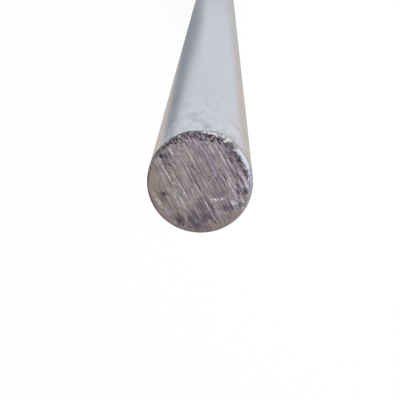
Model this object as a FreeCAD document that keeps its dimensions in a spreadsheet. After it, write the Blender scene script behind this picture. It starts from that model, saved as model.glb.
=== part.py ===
# Round bar of bright drawn mild steel, 25 mm across and cut to half a metre.
#
# The bar stands upright on its plain end, because on its side it would roll. Its
# sawn end is at the top. The origin is on the floor, at the middle of the plain end,
# and +Z runs up along the bar. Sizes are in millimetres and degrees.
#
# The bar is one solid: a drawn round section, a light edge break round both rims,
# and a crescent of the top rim that was ground back by hand.

import FreeCAD
import Part
import math
import os
import Sketcher

# Each driving size is one row of the sheet: its name, its value and what it is.
DRIVING_SIZES = [
    ("bar_diameter", 25.0, "outside diameter of the drawn bar"),
    ("bar_length", 500.0, "length over both ends"),
    ("sawn_edge_break", 0.25, "burr filed off round the sawn top end"),
    ("plain_edge_break", 0.6, "bevel round the plain bottom end"),
    ("dressed_width", 1.3, "widest part of the crescent ground on the top rim"),
    ("dressed_half_span", 63.0, "degrees of sharp rim from the crescent's middle to its tip"),
    ("dressed_clock", 208.0, "degrees of its middle from +X, as seen from above"),
    ("dressed_slope", 45.0, "degrees between the crescent and the end face"),
]

# The crescent is a cone turned about an axis parallel to the bar's own. With the
# axis this far off, the cone is dressed_width inside the sharp rim at the crescent's
# middle, and on that rim at both of its tips. The edge break takes the last few
# degrees of each tip.
STROKE_OFFSET = (
    "(Sizes.dressed_width * (Sizes.bar_diameter - Sizes.dressed_width)"
    " / (Sizes.bar_diameter * (1 - cos(Sizes.dressed_half_span * 1 deg))"
    " - 2 * Sizes.dressed_width))"
)
STROKE_RADIUS = f"Sizes.bar_diameter / 2 - Sizes.dressed_width + {STROKE_OFFSET}"
STROKE_X = f"-{STROKE_OFFSET} * cos(Sizes.dressed_clock * 1 deg)"
STROKE_Y = f"-{STROKE_OFFSET} * sin(Sizes.dressed_clock * 1 deg)"

# An edge whose box is this near to a plane lies in it.
SAME_PLANE = 1e-6


def make_sheet(doc):
    """Spreadsheet with one row for each driving size."""
    sheet = doc.addObject("Spreadsheet::Sheet", "Sizes")
    for row, (alias, value, meaning) in enumerate(DRIVING_SIZES, start=1):
        sheet.set(f"A{row}", alias)
        sheet.set(f"B{row}", str(value))
        sheet.set(f"C{row}", meaning)
        sheet.setAlias(f"B{row}", alias)
    doc.recompute()
    return sheet


def sketch_on(body, name, role):
    """Empty sketch on one of the body's origin planes, such as XY_Plane."""
    plane = next(f for f in body.Origin.OriginFeatures if f.Role == role)
    sketch = body.newObject("Sketcher::SketchObject", name)
    sketch.AttachmentSupport = [(plane, "")]
    sketch.MapMode = "FlatFace"
    return sketch


def drive(sketch, expression, *constraint):
    """Adds a constraint that has a value, and binds that value to the sheet."""
    index = sketch.addConstraint(Sketcher.Constraint(*constraint))
    sketch.setExpression(f"Constraints[{index}]", expression)


def add_round_section(body):
    """The drawn section: one circle about the bar's axis."""
    sketch = sketch_on(body, "RoundSection", "XY_Plane")
    centre = FreeCAD.Vector(0, 0, 0)
    along = FreeCAD.Vector(0, 0, 1)
    rough_radius = 10.0
    circle = sketch.addGeometry(Part.Circle(centre, along, rough_radius))
    sketch.addConstraint(Sketcher.Constraint("Coincident", circle, 3, -1, 1))
    drive(sketch, "Sizes.bar_diameter", "Diameter", circle, 2 * rough_radius)
    return sketch


def add_drawn_length(body, section):
    """The bar from its plain end on the floor up to its full length."""
    pad = body.newObject("PartDesign::Pad", "DrawnLength")
    pad.Profile = section
    pad.setExpression("Length", "Sizes.bar_length")
    return pad


def rim_edge(shape, z):
    """Name of the circular edge that lies at this height."""
    for number, edge in enumerate(shape.Edges, start=1):
        box = edge.BoundBox
        if abs(box.ZMin - z) < SAME_PLANE and abs(box.ZMax - z) < SAME_PLANE:
            return f"Edge{number}"
    raise RuntimeError(f"no rim edge at z = {z}")


def add_edge_break(body, name, base, z, size_alias):
    """Small 45 degree bevel all round one rim of the bar."""
    chamfer = body.newObject("PartDesign::Chamfer", name)
    chamfer.Base = (base, [rim_edge(base.Shape, z)])
    chamfer.setExpression("Size", f"Sizes.{size_alias}")
    return chamfer


def draw_stroke(sketch):
    """Three-sided profile of the grinding stroke, and the axis that it turns about.

    In this sketch x runs across the bar and y runs up along it, with y = 0 at the
    sawn end. The slant side is what grinds the rim. It meets the end face at the
    point named touch.
    """
    # These places are rough. The constraints move each point to its real place.
    axis_x = 2.0
    touch_x = 16.0
    reach = 6.0
    axis_end = -12.5
    above = FreeCAD.Vector(touch_x - reach, reach, 0)
    corner = FreeCAD.Vector(touch_x + reach, reach, 0)
    below = FreeCAD.Vector(touch_x + reach, -reach, 0)
    rough_slope = math.radians(45.0)

    slant = sketch.addGeometry(Part.LineSegment(above, below))
    top = sketch.addGeometry(Part.LineSegment(above, corner))
    outer = sketch.addGeometry(Part.LineSegment(corner, below))
    axis_from = FreeCAD.Vector(axis_x, 0, 0)
    axis_to = FreeCAD.Vector(axis_x, axis_end, 0)
    axis = sketch.addGeometry(Part.LineSegment(axis_from, axis_to), True)
    touch = sketch.addGeometry(Part.Point(FreeCAD.Vector(touch_x, 0, 0)), True)

    for constraint in (
        ("Coincident", slant, 1, top, 1),
        ("Coincident", top, 2, outer, 1),
        ("Coincident", outer, 2, slant, 2),
        ("Horizontal", top),
        ("Vertical", outer),
        ("Vertical", axis),
        ("PointOnObject", axis, 1, -1),
        ("PointOnObject", touch, 1, -1),
        ("PointOnObject", touch, 1, slant),
    ):
        sketch.addConstraint(Sketcher.Constraint(*constraint))

    drive(sketch, "Sizes.bar_diameter / 2", "DistanceY", axis, 2, axis, 1, -axis_end)
    drive(sketch, STROKE_X, "DistanceX", -1, 1, axis, 1, axis_x)
    drive(sketch, STROKE_RADIUS, "DistanceX", axis, 1, touch, 1, touch_x - axis_x)
    drive(sketch, "Sizes.dressed_width", "DistanceY", -1, 1, top, 1, reach)
    drive(sketch, "2 * Sizes.dressed_width", "DistanceX", touch, 1, outer, 1, reach)
    drive(
        sketch,
        "Sizes.dressed_slope * 1 deg",
        "Angle", slant, 1, top, 1, rough_slope,
    )


def add_dressed_crescent(body):
    """Crescent where the top rim was ground back, widest at its middle.

    The stroke is set off the bar's axis, away from the crescent, so that it bites
    deepest at the middle and runs out to nothing at both tips.
    """
    sketch = sketch_on(body, "GrindingStroke", "XZ_Plane")
    sketch.setExpression(".AttachmentOffset.Base.y", "Sizes.bar_length")
    sketch.setExpression(".AttachmentOffset.Base.z", f"-({STROKE_Y})")
    draw_stroke(sketch)
    body.Document.recompute()

    groove = body.newObject("PartDesign::Groove", "DressedCrescent")
    groove.Profile = sketch
    groove.ReferenceAxis = (sketch, ["Axis0"])
    groove.Angle = 360.0
    return groove


def make_bar(doc):
    """The whole bar, which is one piece of steel."""
    body = doc.addObject("PartDesign::Body", "RoundBar")
    body.Label = "round_bar"
    body.Placement = FreeCAD.Placement()

    pad = add_drawn_length(body, add_round_section(body))
    doc.recompute()
    plain = add_edge_break(body, "PlainEdgeBreak", pad, 0.0, "plain_edge_break")
    doc.recompute()
    top_z = pad.Length.Value
    sawn = add_edge_break(body, "SawnEdgeBreak", plain, top_z, "sawn_edge_break")
    doc.recompute()
    crescent = add_dressed_crescent(body)
    doc.recompute()

    ground_off = sawn.Shape.Volume - crescent.Shape.Volume
    print(f"the crescent takes {ground_off:.2f} mm3 off the rim")
    if ground_off <= 0:
        raise RuntimeError("the crescent cut nothing")
    return body


def check(doc, parts):
    """Stops if an object failed or a part is not one good solid."""
    failed = [o.Name for o in doc.Objects if {"Invalid", "Error"} & set(o.State)]
    if failed:
        raise RuntimeError(f"these objects failed: {failed}")
    for part in parts:
        shape = part.Shape
        if shape.isNull() or not shape.isValid() or len(shape.Solids) != 1:
            raise RuntimeError(f"{part.Label} is not one valid solid")


def main():
    """Builds the document and writes one STEP file for each part."""
    doc = FreeCAD.newDocument("RoundBar")
    make_sheet(doc)
    parts = [make_bar(doc)]
    doc.recompute()
    check(doc, parts)
    os.makedirs("parts", exist_ok=True)
    for part in parts:
        part.Shape.exportStep(f"parts/{part.Label}.step")
        print(f"{part.Label}: {part.Shape.Volume:.1f} mm3")


main()
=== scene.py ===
"""Half a metre of bright drawn round bar, standing on its plain end.

The sawn end is on top and faces the camera. A worn blade left coarse scores across it,
oil and rust have stained it, and one stretch of its rim was ground back by hand. Sizes
are named in millimetres, and the finished mesh is turned to metres.

On the sawn end, "across" and "along" are measured from the bar's axis, across and along
the scores of the saw. With the ground crescent to the right, the scores run up and to
the left, "along" grows that way, and "across" grows up and to the right.
"""

import logging
import math
from dataclasses import dataclass, field
from enum import Enum

import bmesh
import bpy
from mathutils import Matrix, Vector, noise


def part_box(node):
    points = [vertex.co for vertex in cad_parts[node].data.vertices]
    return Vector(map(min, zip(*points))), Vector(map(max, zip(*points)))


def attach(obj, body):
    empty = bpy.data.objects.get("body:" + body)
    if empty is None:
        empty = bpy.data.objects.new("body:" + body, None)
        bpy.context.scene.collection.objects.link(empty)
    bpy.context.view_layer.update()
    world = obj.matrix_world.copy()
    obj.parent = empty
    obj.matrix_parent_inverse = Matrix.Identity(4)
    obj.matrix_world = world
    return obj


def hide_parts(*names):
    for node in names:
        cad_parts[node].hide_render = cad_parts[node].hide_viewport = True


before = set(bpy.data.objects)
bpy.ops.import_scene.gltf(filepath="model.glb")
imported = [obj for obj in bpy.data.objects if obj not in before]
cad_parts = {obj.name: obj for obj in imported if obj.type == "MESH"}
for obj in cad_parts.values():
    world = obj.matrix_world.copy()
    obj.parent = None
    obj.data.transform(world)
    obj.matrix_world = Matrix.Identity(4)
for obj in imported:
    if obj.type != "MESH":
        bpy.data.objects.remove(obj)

MM = 0.001
# Points nearer to each other than this, in millimetres, are one point.
TOUCHING = 1e-4
LOG = logging.getLogger("round_bar")

# Sockets of the Mix node that carry colours. It has others of the same names.
COLOUR_A = 6
COLOUR_B = 7
COLOUR_OUT = 2

Colour = tuple[float, float, float, float]


class Zone(Enum):
    """Stretches of the bar's surface. The value is the material slot of each."""

    DRAWN_SIDE = 0
    SAWN_END = 1
    GROUND_CRESCENT = 2


class Film(Enum):
    """What lies on the sawn steel. The value names the mesh attribute that holds it."""

    # Bright burnished metal, and one painted highlight on a tooth near the top of the rim.
    BURNISH_AND_HIGHLIGHT = "burnish"
    # Grime, and painted shade under the burrs inside the top rim, under a tooth and along the rim's outer
    # edge.
    GRIME_AND_SHADE = "grime"
    RUST = "rust"
    TARNISH = "tarnish"


def srgb(hex_code: str) -> Colour:
    """Turns an sRGB colour to linear values.

    Args:
        hex_code: Six hex digits.

    Returns:
        Linear red, green and blue, with an alpha of 1.
    """
    parts = [int(hex_code[i : i + 2], 16) / 255 for i in (0, 2, 4)]
    linear = [c / 12.92 if c <= 0.04045 else ((c + 0.055) / 1.055) ** 2.4 for c in parts]
    return (*linear, 1.0)


def smooth_step(low: float, high: float, value: float) -> float:
    """Rises smoothly from 0 to 1 between two values.

    Args:
        low: Where the rise starts.
        high: Where it ends. It may be the smaller one, and then the step falls.
        value: Where it is read.

    Returns:
        A share from 0 to 1.
    """
    share = min(1.0, max(0.0, (value - low) / (high - low)))
    return share * share * (3 - 2 * share)


def add_node(
    tree: bpy.types.NodeTree,
    kind: str,
    settings: dict[str | int, object] | None = None,
    links: dict[str | int, bpy.types.NodeSocket] | None = None,
) -> bpy.types.Node:
    """Adds one node to a tree.

    Args:
        tree: Node tree of a material or of the world.
        kind: The node's type.
        settings: Values for its inputs, and for its own settings.
        links: The socket that each named input reads.

    Returns:
        The node.
    """
    node = tree.nodes.new(kind)
    # The node's own settings come first, because they decide which inputs it has.
    for name, value in (settings or {}).items():
        if isinstance(name, str) and hasattr(node, name):
            setattr(node, name, value)
    for name, value in (settings or {}).items():
        if isinstance(name, int) or not hasattr(node, name):
            node.inputs[name].default_value = value
    for name, socket in (links or {}).items():
        tree.links.new(socket, node.inputs[name])
    return node


def new_material(name: str) -> tuple[bpy.types.Material, bpy.types.NodeTree]:
    """Makes an empty material.

    Args:
        name: The material's name.

    Returns:
        The material, and its node tree with no nodes in it.
    """
    material = bpy.data.materials.new(name)
    material.use_nodes = True
    material.node_tree.nodes.clear()
    return material, material.node_tree


def put_in_scene(
    name: str, work: bmesh.types.BMesh, *finishes: bpy.types.Material
) -> bpy.types.Object:
    """Makes an object of a finished bmesh, and frees the bmesh.

    Args:
        name: Name of the object and of its mesh.
        work: The bmesh, in metres and already in its place.
        finishes: The object's materials, in the order of their slots.

    Returns:
        The object, at the origin.
    """
    mesh = bpy.data.meshes.new(name)
    work.to_mesh(mesh)
    work.free()
    for finish in finishes:
        mesh.materials.append(finish)
    thing = bpy.data.objects.new(name, mesh)
    bpy.context.scene.collection.objects.link(thing)
    return thing


def show_to_mirrors_only(thing: bpy.types.Object) -> None:
    """Marks a piece of the studio that only reflections show.

    Args:
        thing: The card or flag.
    """
    thing.visible_camera = False
    thing.visible_diffuse = False
    thing.visible_transmission = False
    thing.visible_shadow = False


def read_noise(place: tuple[float, float] | Vector, width: float, length: float, seed: float) -> float:
    """Reads smooth noise whose grains have a set size.

    Args:
        place: Where it is read, in millimetres.
        width: Size of a grain in the first direction.
        length: Size of a grain in the second direction.
        seed: Picks one noise among many.

    Returns:
        A value from about -1 to 1.
    """
    return noise.noise(Vector((place[0] / width, place[1] / length, seed)))


def look_from(place: Vector, target: Vector, upward: Vector) -> Matrix:
    """Works out how a camera or a lamp stands.

    Args:
        place: Where it stands.
        target: The point that it faces.
        upward: The direction that its own up leans to.

    Returns:
        Its matrix.
    """
    back = (place - target).normalized()
    right = upward.cross(back).normalized()
    turn = Matrix((right, back.cross(right), back)).transposed()
    return Matrix.Translation(place) @ turn.to_4x4()


def stain(
    tree: bpy.types.NodeTree, colour: bpy.types.NodeSocket | Colour, tints: dict[Film, str]
) -> bpy.types.NodeSocket:
    """Lays films over a colour, each as thick as the mesh attribute of its name says.

    Args:
        tree: Node tree of a material.
        colour: Colour of the clean metal, either a pattern's socket or one plain colour.
        tints: The films' sRGB colours, lowest film first.

    Returns:
        The stained colour.
    """
    for film, tint in tints.items():
        amount = add_node(tree, "ShaderNodeAttribute", {"attribute_name": film.value})
        settings = {"data_type": "RGBA", COLOUR_B: srgb(tint)}
        links = {"Factor": amount.outputs["Fac"]}
        under = settings if isinstance(colour, tuple) else links
        under[COLOUR_A] = colour
        colour = add_node(tree, "ShaderNodeMix", settings, links).outputs[COLOUR_OUT]
    return colour


def add_cover(tree: bpy.types.NodeTree, cover: bpy.types.NodeSocket, shade: str) -> None:
    """Ends a card's material: one even glowing colour, a painted reflection, where it is covered, and clear
    elsewhere.

    Args:
        tree: Node tree of the card's material.
        cover: How much of the card is there at each point, from 0 to 1.
        shade: The card's sRGB colour.
    """
    painted_glow = add_node(tree, "ShaderNodeEmission", {"Color": srgb(shade), "Strength": 1.0})
    clear = add_node(tree, "ShaderNodeBsdfTransparent")
    mixed = add_node(
        tree,
        "ShaderNodeMixShader",
        {},
        {0: cover, 1: clear.outputs["BSDF"], 2: painted_glow.outputs["Emission"]},
    )
    add_node(tree, "ShaderNodeOutputMaterial", {}, {"Surface": mixed.outputs["Shader"]})


@dataclass(frozen=True)
class Patches:
    """Soft patches on the drawn side. Their size is in millimetres.

    A stretch below 1 draws them out along the bar. Noise runs from 0 to 1, and a patch
    starts where it passes low and is full where it passes high.
    """

    size: float
    stretch: float
    roughness: float
    low: float
    high: float
    most: float = 1.0

    def share(
        self, tree: bpy.types.NodeTree, place: bpy.types.NodeSocket
    ) -> bpy.types.NodeSocket:
        """Makes the pattern.

        Args:
            tree: Node tree of a material.
            place: Place on the bar.

        Returns:
            How much of a patch lies at each point, from 0 to most.
        """
        laid = add_node(
            tree, "ShaderNodeMapping", {"Scale": (1.0, 1.0, self.stretch)}, {"Vector": place}
        )
        cloud = add_node(
            tree,
            "ShaderNodeTexNoise",
            {"Scale": 1 / (self.size * MM), "Detail": 3.0, "Roughness": self.roughness},
            {"Vector": laid.outputs["Vector"]},
        )
        return add_node(
            tree,
            "ShaderNodeMapRange",
            {"From Min": self.low, "From Max": self.high, "To Max": self.most},
            {"Value": cloud.outputs["Fac"]},
        ).outputs["Result"]


@dataclass(frozen=True)
class DrawnSteel:
    """Cold drawn mild steel, straight from the die.

    The eye gets a cool satin metal with a soft, smeared reflection. Hairlines run along
    the bar, and pale haze and small scuffs lie near the sawn end, where it was handled.
    """

    steel: str = "C8CACD"
    haze: str = "E2E2E5"
    dull: str = "B0B1B5"
    roughness: float = 0.17
    rough_haze: float = 0.22
    # Real draw lines are about 0.05 mm wide. These are wider, so that they show.
    line_width: float = 0.35
    line_length: float = 70.0
    line_depth: float = 0.0012
    # Hands leave haze about a finger's width across.
    hazy: Patches = Patches(size=9.0, stretch=0.12, roughness=0.55, low=0.35, high=0.7, most=0.2)
    # Other bars leave pale scuffs and dull patches of 1 to 3 mm.
    scuffed: Patches = Patches(size=1.5, stretch=0.35, roughness=0.6, low=0.38, high=0.66)
    worn: Patches = Patches(size=3.1, stretch=0.35, roughness=0.5, low=0.48, high=0.68)
    # Both kinds fade out this far below the sawn end.
    scuff_reach: float = 66.0

    def material(self, length: float) -> bpy.types.Material:
        """Makes the material.

        Args:
            length: Length of the bar, which is the height of its sawn end.

        Returns:
            The material.
        """
        made, tree = new_material("cold_drawn_mild_steel")
        place = add_node(tree, "ShaderNodeTexCoord").outputs["Object"]
        near_end = self.near_end(tree, place, length)
        scuffed, worn = (
            add_node(
                tree,
                "ShaderNodeMath",
                {"operation": "MULTIPLY"},
                {0: near_end, 1: patches.share(tree, place)},
            ).outputs["Value"]
            for patches in (self.scuffed, self.worn)
        )
        pale = add_node(
            tree,
            "ShaderNodeMath",
            {"operation": "MAXIMUM"},
            {0: scuffed, 1: self.hazy.share(tree, place)},
        ).outputs["Value"]
        polished = add_node(
            tree,
            "ShaderNodeMix",
            {"data_type": "RGBA", COLOUR_A: srgb(self.steel), COLOUR_B: srgb(self.haze)},
            {"Factor": pale},
        )
        tint = add_node(
            tree,
            "ShaderNodeMix",
            {"data_type": "RGBA", COLOUR_B: srgb(self.dull)},
            {"Factor": worn, COLOUR_A: polished.outputs[COLOUR_OUT]},
        )
        rough = add_node(
            tree,
            "ShaderNodeMapRange",
            {"To Min": self.roughness, "To Max": self.rough_haze},
            {"Value": pale},
        )
        shader = add_node(
            tree,
            "ShaderNodeBsdfPrincipled",
            {"Metallic": 1.0},
            {
                "Base Color": tint.outputs[COLOUR_OUT],
                "Roughness": rough.outputs["Result"],
                "Normal": self.draw_lines(tree, place),
            },
        )
        add_node(tree, "ShaderNodeOutputMaterial", {}, {"Surface": shader.outputs["BSDF"]})
        return made

    def near_end(
        self, tree: bpy.types.NodeTree, place: bpy.types.NodeSocket, length: float
    ) -> bpy.types.NodeSocket:
        """Makes a share that rises from 0 to 1 toward the sawn end.

        Args:
            tree: Node tree of the material.
            place: Place on the bar.
            length: Height of the sawn end.

        Returns:
            The share.
        """
        height = add_node(tree, "ShaderNodeSeparateXYZ", {}, {"Vector": place}).outputs["Z"]
        top = length * MM
        return add_node(
            tree,
            "ShaderNodeMapRange",
            {"From Min": top - self.scuff_reach * MM, "From Max": top, "interpolation_type": "SMOOTHSTEP"},
            {"Value": height},
        ).outputs["Result"]

    def draw_lines(
        self, tree: bpy.types.NodeTree, place: bpy.types.NodeSocket
    ) -> bpy.types.NodeSocket:
        """Makes the relief of the hairlines that the die left along the bar.

        Args:
            tree: Node tree of the material.
            place: Place on the bar.

        Returns:
            The surface's direction, tilted by the lines.
        """
        thin = 1 / (self.line_width * MM)
        long = 1 / (self.line_length * MM)
        grain = add_node(tree, "ShaderNodeMapping", {"Scale": (thin, thin, long)}, {"Vector": place})
        lines = add_node(
            tree, "ShaderNodeTexNoise", {"Scale": 1.0, "Detail": 2.0}, {"Vector": grain.outputs["Vector"]}
        )
        return add_node(
            tree,
            "ShaderNodeBump",
            {"Strength": 1.0, "Distance": self.line_depth * MM},
            {"Height": lines.outputs["Fac"]},
        ).outputs["Normal"]


@dataclass(frozen=True)
class SawnSteel:
    """Mild steel cut by a worn band saw, then handled with oily hands and left damp.

    The eye gets dull grey metal in fine parallel streaks, with bright scratches, black
    grime in the deep scores, brown rust at the rim and a violet film of old oil. The black
    also paints shade under the burrs inside the top rim and under a tooth, and the bright
    colour paints that tooth's highlight.
    """

    light: str = "A89F9F"
    dark: str = "574E54"
    # Also paints the highlight on a tooth near the top of the rim.
    burnished: str = "D2CFD8"
    # Also paints the shade under the burrs inside the top rim, and under that tooth.
    grime: str = "29252B"
    rust: str = "8E7F74"
    tarnish: str = "544B57"
    beige: str = "FFFBEF"
    violet: str = "F9F5FF"
    roughness: float = 0.42
    # The blade's teeth leave scores about 1 mm apart, each made of lines a few hundredths
    # of a millimetre wide. The lines are drawn as coarse as they need to be to show.
    streak_width: float = 0.36
    streak_length: float = 5.5
    hair_width: float = 0.18
    hair_length: float = 1.5
    hair_depth: float = 0.02
    # Torn grains are about 0.1 mm across. These are coarser too.
    grit_width: float = 0.3
    grit_length: float = 0.5
    mottle_size: float = 1.5
    oil_size: float = 1.6
    # The share of oil that is gained for each millimetre across.
    oil_drift: float = 0.011
    # How much of the hairlines' relief still shows through full rust.
    crisp_rust: float = 0.2

    def material(self, grain_turn: float) -> bpy.types.Material:
        """Makes the material.

        Args:
            grain_turn: Turn about the bar's axis that brings the scores to the Y axis.

        Returns:
            The material.
        """
        made, tree = new_material("band_sawn_mild_steel")
        place = add_node(tree, "ShaderNodeTexCoord").outputs["Object"]
        grain = add_node(
            tree, "ShaderNodeMapping", {"Rotation": (0.0, 0.0, grain_turn)}, {"Vector": place}
        ).outputs["Vector"]
        hairs = self.layer(tree, grain, self.hair_width, self.hair_length)
        metal = self.oiled(tree, grain, self.bare_metal(tree, grain, hairs))
        tints = {
            Film.RUST: self.rust,
            Film.TARNISH: self.tarnish,
            Film.GRIME_AND_SHADE: self.grime,
            Film.BURNISH_AND_HIGHLIGHT: self.burnished,
        }
        shader = add_node(
            tree,
            "ShaderNodeBsdfPrincipled",
            {"Metallic": 1.0, "Roughness": self.roughness},
            {"Base Color": stain(tree, metal, tints), "Normal": self.hairlines(tree, hairs)},
        )
        add_node(tree, "ShaderNodeOutputMaterial", {}, {"Surface": shader.outputs["BSDF"]})
        return made

    def layer(
        self, tree: bpy.types.NodeTree, grain: bpy.types.NodeSocket, width: float, length: float
    ) -> bpy.types.NodeSocket:
        """Makes one layer of noise.

        Args:
            tree: Node tree of the material.
            grain: Place across and along the scores.
            width: Size of a grain across them, in millimetres.
            length: Size of a grain along them.

        Returns:
            The noise, from 0 to 1.
        """
        scale = (1 / (width * MM), 1 / (length * MM), 1 / (width * MM))
        laid = add_node(tree, "ShaderNodeMapping", {"Scale": scale}, {"Vector": grain})
        return add_node(
            tree,
            "ShaderNodeTexNoise",
            {"Scale": 1.0, "Detail": 3.0, "Roughness": 0.6},
            {"Vector": laid.outputs["Vector"]},
        ).outputs["Fac"]

    def bare_metal(
        self, tree: bpy.types.NodeTree, grain: bpy.types.NodeSocket, hairs: bpy.types.NodeSocket
    ) -> bpy.types.NodeSocket:
        """Makes the streaky colour of the metal.

        Args:
            tree: Node tree of the material.
            grain: Place across and along the scores.
            hairs: The layer of hairlines.

        Returns:
            The colour.
        """
        tone = self.layer(tree, grain, self.streak_width, self.streak_length)
        grit = self.layer(tree, grain, self.grit_width, self.grit_length)
        mottle = self.layer(tree, grain, self.mottle_size, 1.4 * self.mottle_size)
        for layer, weight in ((hairs, 0.44), (grit, 0.28), (mottle, 0.24)):
            tone = add_node(
                tree, "ShaderNodeMix", {"Factor": weight}, {2: tone, 3: layer}
            ).outputs["Result"]
        share = add_node(
            tree, "ShaderNodeMapRange", {"From Min": 0.36, "From Max": 0.64}, {"Value": tone}
        ).outputs["Result"]
        return add_node(
            tree,
            "ShaderNodeMix",
            {"data_type": "RGBA", COLOUR_A: srgb(self.dark), COLOUR_B: srgb(self.light)},
            {"Factor": share},
        ).outputs[COLOUR_OUT]

    def oiled(
        self, tree: bpy.types.NodeTree, grain: bpy.types.NodeSocket, colour: bpy.types.NodeSocket
    ) -> bpy.types.NodeSocket:
        """Tints the metal violet where it is oily, and beige where it is dry.

        Args:
            tree: Node tree of the material.
            grain: Place across and along the scores.
            colour: Colour of the metal.

        Returns:
            The tinted colour.
        """
        across = add_node(tree, "ShaderNodeSeparateXYZ", {}, {"Vector": grain}).outputs["X"]
        oil = add_node(
            tree,
            "ShaderNodeMath",
            {"operation": "MULTIPLY_ADD", 1: self.oil_drift / MM},
            {0: across, 2: self.layer(tree, grain, self.oil_size, 1.5 * self.oil_size)},
        ).outputs["Value"]
        for tint, none, full in ((self.beige, 0.55, 0.38), (self.violet, 0.45, 0.62)):
            share = add_node(
                tree, "ShaderNodeMapRange", {"From Min": none, "From Max": full}, {"Value": oil}
            ).outputs["Result"]
            colour = add_node(
                tree,
                "ShaderNodeMix",
                {"data_type": "RGBA", "blend_type": "MULTIPLY", COLOUR_B: srgb(tint)},
                {"Factor": share, COLOUR_A: colour},
            ).outputs[COLOUR_OUT]
        return colour

    def hairlines(
        self, tree: bpy.types.NodeTree, hairs: bpy.types.NodeSocket
    ) -> bpy.types.NodeSocket:
        """Makes the relief of the hairlines, which rust fills.

        Args:
            tree: Node tree of the material.
            hairs: The layer of hairlines.

        Returns:
            The surface's direction, tilted by the lines.
        """
        rust = add_node(tree, "ShaderNodeAttribute", {"attribute_name": Film.RUST.value})
        crisp = add_node(
            tree,
            "ShaderNodeMapRange",
            {"To Min": 1.0, "To Max": self.crisp_rust},
            {"Value": rust.outputs["Fac"]},
        )
        return add_node(
            tree,
            "ShaderNodeBump",
            {"Distance": self.hair_depth * MM},
            {"Height": hairs, "Strength": crisp.outputs["Result"]},
        ).outputs["Normal"]


@dataclass(frozen=True)
class GroundSteel:
    """Mild steel dressed by hand on a coarse stone.

    The eye gets the brightest metal on the bar, bluish white, with short scratches and
    a few dark pits that the stone didn't reach. The same dark colour paints a thin line of
    shade along the rim's outer edge, and more shade on its far left.
    """

    steel: str = "D8DBE8"
    stained: str = "857C7F"
    # Also paints the shade along the rim's outer edge and on its far left.
    pit_and_shade: str = "3A383E"
    burnished: str = "B8BABA"
    roughness: float = 0.24
    rough_stained: float = 0.5
    # A coarse stone leaves scratches about 0.1 mm wide. These are wider, so that they show.
    scratch_width: float = 0.3
    scratch_length: float = 1.6
    scratch_depth: float = 0.01

    def material(self, grain_turn: float) -> bpy.types.Material:
        """Makes the material.

        Args:
            grain_turn: Turn about the bar's axis that brings the scratches to the Y axis.

        Returns:
            The material.
        """
        made, tree = new_material("hand_ground_mild_steel")
        place = add_node(tree, "ShaderNodeTexCoord").outputs["Object"]
        grain = add_node(tree, "ShaderNodeMapping", {"Rotation": (0.0, 0.0, grain_turn)}, {"Vector": place})
        wide = 1 / (self.scratch_width * MM)
        long = 1 / (self.scratch_length * MM)
        laid = add_node(
            tree, "ShaderNodeMapping", {"Scale": (wide, long, wide)}, {"Vector": grain.outputs["Vector"]}
        )
        scratches = add_node(
            tree,
            "ShaderNodeTexNoise",
            {"Scale": 1.0, "Detail": 2.0},
            {"Vector": laid.outputs["Vector"]},
        )
        tints = {
            Film.TARNISH: self.stained,
            Film.GRIME_AND_SHADE: self.pit_and_shade,
            Film.BURNISH_AND_HIGHLIGHT: self.burnished,
        }
        colour = stain(tree, srgb(self.steel), tints)
        bump = add_node(
            tree,
            "ShaderNodeBump",
            {"Strength": 1.0, "Distance": self.scratch_depth * MM},
            {"Height": scratches.outputs["Fac"]},
        )
        dirty = add_node(tree, "ShaderNodeAttribute", {"attribute_name": Film.TARNISH.value})
        rough = add_node(
            tree,
            "ShaderNodeMapRange",
            {"To Min": self.roughness, "To Max": self.rough_stained},
            {"Value": dirty.outputs["Fac"]},
        )
        shader = add_node(
            tree,
            "ShaderNodeBsdfPrincipled",
            {"Metallic": 1.0},
            {
                "Base Color": colour,
                "Roughness": rough.outputs["Result"],
                "Normal": bump.outputs["Normal"],
            },
        )
        add_node(tree, "ShaderNodeOutputMaterial", {}, {"Surface": shader.outputs["BSDF"]})
        return made


@dataclass(frozen=True)
class Mark:
    """One score, scratch, pit or patch on the sawn end, in millimetres.

    It is centred at (across, along), and lean is how far it moves across for each
    millimetre along.
    """

    strength: float
    across: float
    along: float
    half_width: float
    half_length: float
    lean: float = 0.0

    def weight(self, across: float, along: float) -> float:
        """Reads the mark at one point.

        Args:
            across: The point's place across the scores.
            along: Its place along them.

        Returns:
            The mark's strength there, which fades smoothly at its sides and ends.
        """
        # Past either of the two limits the mark would be too weak to show.
        up = (along - self.along) / self.half_length
        if abs(up) > 1.3:
            return 0.0
        side = (across - self.across - self.lean * (along - self.along)) / self.half_width
        if abs(side) > 2.2:
            return 0.0
        return self.strength * math.exp(-side * side - up**4)
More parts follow.
